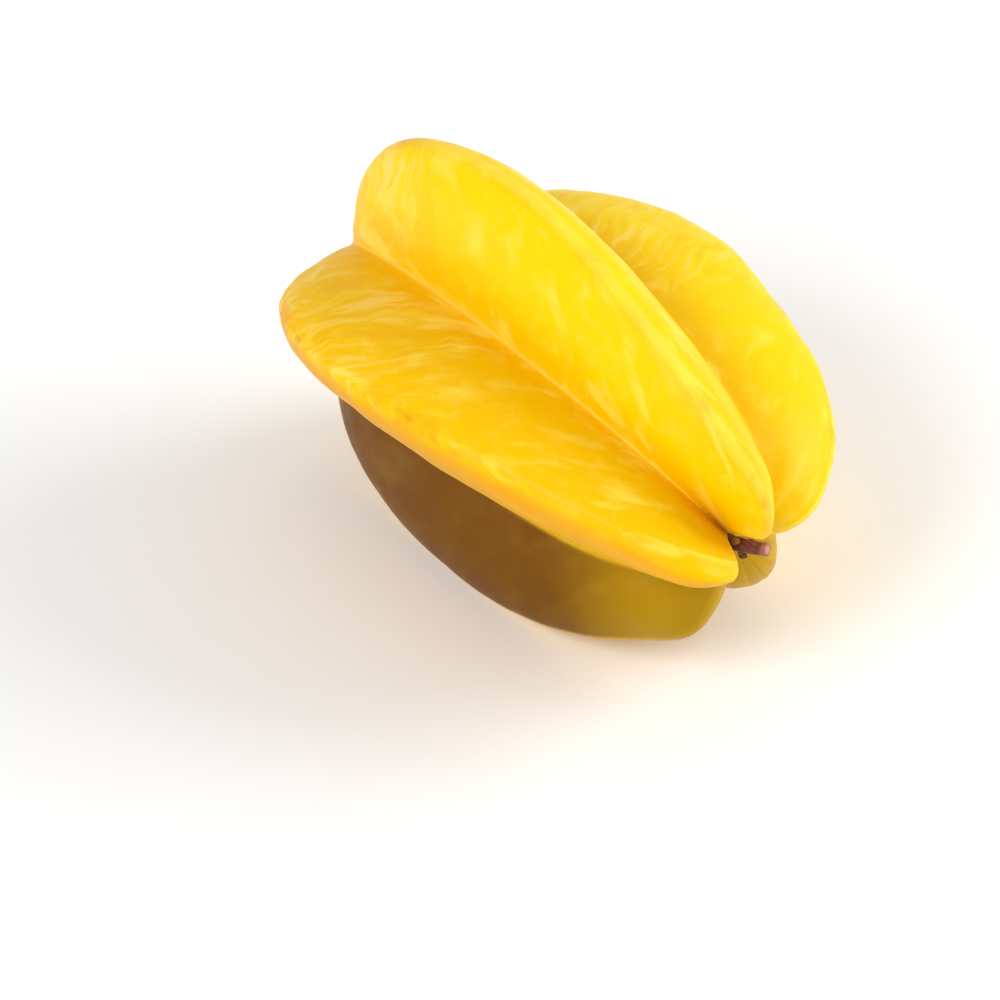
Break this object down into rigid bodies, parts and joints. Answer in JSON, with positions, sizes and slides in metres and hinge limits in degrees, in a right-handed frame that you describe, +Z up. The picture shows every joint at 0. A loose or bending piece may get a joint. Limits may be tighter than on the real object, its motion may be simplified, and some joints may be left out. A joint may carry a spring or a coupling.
{
  "type": "star fruit",
  "caption": "Whole ripe star fruit with a five-ribbed waxy skin, a short dried stalk and its small sepals, lying on two ribs.",
  "frame": {"origin": "centre of the fruit's box, on the surface it lies on", "axes": "+X along the fruit's length towards the stalk, +Z up"},
  "size_m": [0.1036, 0.0722, 0.067],
  "materials": {
    "skin": "waxy yellow skin",
    "stalk_bark": "dried maroon bark",
    "dry_sepal": "dried brown leaf"
  },
  "bodies": {
    "root": {"fruit_body": "skin", "stalk": "stalk_bark", "sepal_1": "dry_sepal", "sepal_2": "dry_sepal", "sepal_3": "dry_sepal", "sepal_4": "dry_sepal", "sepal_5": "dry_sepal"}
  },
  "joints": []
}
